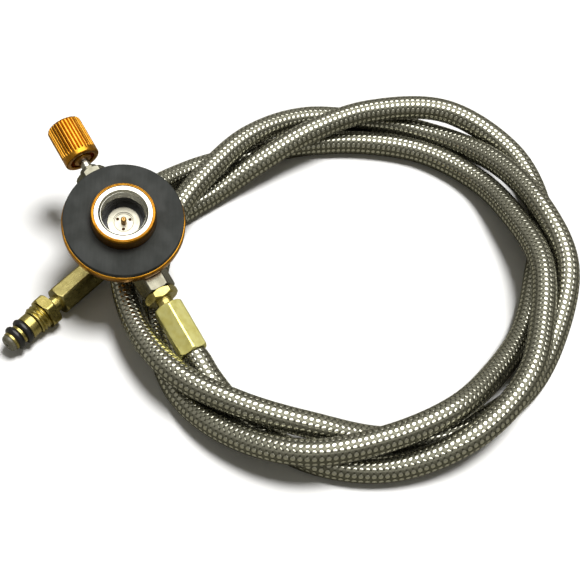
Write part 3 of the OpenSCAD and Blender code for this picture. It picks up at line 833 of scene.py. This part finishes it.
def makeNipple(n):
    nipple, tail = extent("outlet_nipple", barrelAxes), extent("hose_tail", barrelAxes)
    face, corner = extent("outlet_washer", barrelAxes)["high"], nipple["radius"]
    floor = tail["low"] - n["socketPast"]
    outline = [
        (nipple["low"], nipple["bore"]), (nipple["low"], n["spigot"]), (face, n["spigot"]),
        *hexOutline(face, nipple["high"], corner, n["edge"]),
        (nipple["high"], n["socket"]), (floor, n["socket"]), (floor, nipple["bore"]),
    ]
    piece = turned("nipple", barrelAxes, outline, sides=hexSides, step=hexStep,
                   shape=hexagon(face, nipple["high"], corner))
    dress(piece, "outlet_nipple", finishes["nickelHex"])


def makeTail(s):
    tail, face = extent("hose_tail", barrelAxes), extent("outlet_nipple", barrelAxes)["high"]
    corner, back, barb = tail["radius"], face + s["hexLong"], headFerrule["low"] + s["neckInside"]
    outline = [
        (tail["low"], tail["bore"]), (tail["low"], s["inset"]), (face, s["inset"]),
        *hexOutline(face, back, corner, s["edge"]), (back, s["neck"], s["neckRound"]),
        (barb, s["neck"]), (barb, s["barb"]), (tail["high"], s["barbEnd"]), (tail["high"], tail["bore"]),
    ]
    piece = turned("tail", barrelAxes, outline, sides=hexSides, step=hexStep,
                   shape=hexagon(face, back, corner))
    dress(piece, "hose_tail", finishes["turnedOlive"])


def makeFerrule(name, node, about, flatAt, mouthFirst, finish, c):
    # a hexagonal sleeve, open where the hose goes in and walled at the neck
    body = extent(node, about)
    low, high, corner = body["low"], body["high"], body["radius"]
    outer = hexOutline(low, high, corner, c["edge"])
    if mouthFirst:
        outline = [(low, c["sleeve"], plainEdge), *outer, (high, c["hole"]), (high - c["wall"], c["hole"]),
                   (high - c["wall"], c["sleeve"])]
    else:
        outline = [(low, c["hole"]), *outer, (high, c["sleeve"], plainEdge), (low + c["wall"], c["sleeve"]),
                   (low + c["wall"], c["hole"])]
    shape = hexagon(low, high, corner, flatAt)
    dress(turned(name, about, outline, sides=hexSides, step=c["step"], shape=shape), node, finish)


makeNipple(nippleShape)
makeTail(tailShape)
makeFerrule("head_crimp", "head_ferrule", barrelAxes, 0, False, finishes["brass"], crimp)
makeFerrule("plug_crimp", "plug_ferrule", plugAxes, 30, True, finishes["oliveBrass"], crimp)
print("outlet made")


# plug: spigot, coupling nut, seals and nose

spigotShape = {"stalk": 1.5, "neck": 2.1, "gap": 0.15, "collar": 3.1, "collarRound": 0.25,
               "collarEdge": 0.15, "land": 2.6, "landEdge": 0.12, "grooveFloor": 1.7, "frontDeeper": 0.15,
               "ring": 2.5, "ringRound": 0.15}
nutShape = {"pitch": 1.0, "depth": 0.5, "hexLong": 2.8, "edge": 0.5, "runOut": 0.25, "chamfer": 0.3,
            "chamferIn": 0.4, "threadFrom": 0.05, "threadWall": 0.6, "slack": 0.01}
sealPoints = 24                      # round a seal's section
noseShape = {"stalk": 0.88, "edge": 0.15, "tipRound": 0.9}


def makeSpigot(s):
    spigot, nut = extent("plug_spigot", plugAxes), extent("coupling_nut", plugAxes)
    rear, front = extent("rear_o_ring", plugAxes), extent("front_o_ring", plugAxes)
    wall = extent("plug_ferrule", plugAxes)["high"] - crimp["wall"]
    shoulder = nut["high"] + s["gap"]
    rearLow, rearHigh = rear["low"] - seat, rear["high"] + seat
    frontLow, frontHigh = front["low"] - seat, front["high"] + seat
    frontFloor = s["grooveFloor"] - s["frontDeeper"]
    outline = [
        (spigot["low"], spigot["bore"]), (spigot["low"], s["stalk"]), (wall, s["stalk"]), (wall, s["neck"]),
        (shoulder, s["neck"]), (shoulder, s["collar"], s["collarRound"]),
        (rearLow, s["collar"], s["collarEdge"]), (rearLow, s["grooveFloor"]), (rearHigh, s["grooveFloor"]),
        (rearHigh, s["land"], s["landEdge"]), (frontLow, s["land"], s["landEdge"]), (frontLow, frontFloor),
        (frontHigh, frontFloor), (frontHigh, s["ring"], s["landEdge"]),
        (spigot["high"], s["ring"], s["ringRound"]), (spigot["high"], spigot["bore"]),
    ]
    dress(turned("spigot", plugAxes, outline, sides=96), "plug_spigot", finishes["turnedOlive"])


def makeCouplingNut(t):
    nut = extent("coupling_nut", plugAxes)
    corner, low, high = nut["radius"], nut["low"], nut["high"]
    shank = mounts["coupling_thread"]["dims"]["r_mm"]
    face = low + t["hexLong"]
    outline = [
        (low, nut["bore"], plainEdge), *hexOutline(low, face, corner, t["edge"]),
        (face, shank - t["depth"]), (face + t["runOut"], shank), (high - t["chamfer"], shank),
        (high, shank - t["chamferIn"], plainEdge), (high, nut["bore"], plainEdge),
    ]
    flats = hexagon(low, face, corner)
    groove = thread(face + t["threadFrom"], high - t["threadFrom"], t["pitch"], t["depth"],
                    lambda radius: (radius > shank - t["threadWall"]) & (radius < shank + t["slack"]))

    def shape(x, radius, angle):
        return groove(x, flats(x, radius, angle), angle)

    piece = turned("swivel_nut", plugAxes, outline, sides=hexSides, step=t["pitch"] / threadPoints,
                   shape=shape)
    dress(piece, "coupling_nut", finishes["turnedOlive"])


def makeSeal(name, node):
    seal = extent(node, plugAxes)
    small = (seal["high"] - seal["low"]) / 2
    turns = np.linspace(0, 2 * math.pi, sealPoints, endpoint=False)
    # a circle that starts at its inner side and goes forwards on the outer one
    outline = [((seal["low"] + seal["high"]) / 2 - small * math.sin(t),
                seal["radius"] - small - small * math.cos(t)) for t in turns]
    dress(turned(name, plugAxes, outline, sides=96), node, finishes["sealRubber"])


def makeNose(n):
    nose, face = extent("plug_nose", plugAxes), extent("plug_spigot", plugAxes)["high"]
    outline = [
        (nose["low"], nose["bore"]), (nose["low"], n["stalk"]), (face, n["stalk"]),
        (face, nose["radius"], n["edge"]), (nose["high"], nose["radius"], n["tipRound"]),
        (nose["high"], nose["bore"], plainEdge),
    ]
    dress(turned("nose", plugAxes, outline, sides=72), "plug_nose", finishes["greyPlastic"])


makeSpigot(spigotShape)
makeCouplingNut(nutShape)
makeSeal("rear_seal", "rear_o_ring")
makeSeal("front_seal", "front_o_ring")
makeNose(noseShape)
print("plug made")


# CAD pieces that show as they are

cadFinishes = {
    "valve_body": "nickelBody", "pin_carrier": "carrier", "knob_screw": "steel", "valve_spindle": "steel",
    "inlet_seal": "sealRubber", "spindle_o_ring": "sealRubber", "gas_filter": "copper",
    "spindle_packing": "packing", "outlet_washer": "copper", "head_hose_end": "hoseRubber",
    "plug_hose_end": "hoseRubber",
}


def paintCad(node, finish):
    mesh = frame["nodes"][node].data
    mesh.materials.clear()
    mesh.materials.append(finish)


for nodeName, finishName in cadFinishes.items():
    paintCad(nodeName, finishes[finishName])
print("CAD pieces painted")
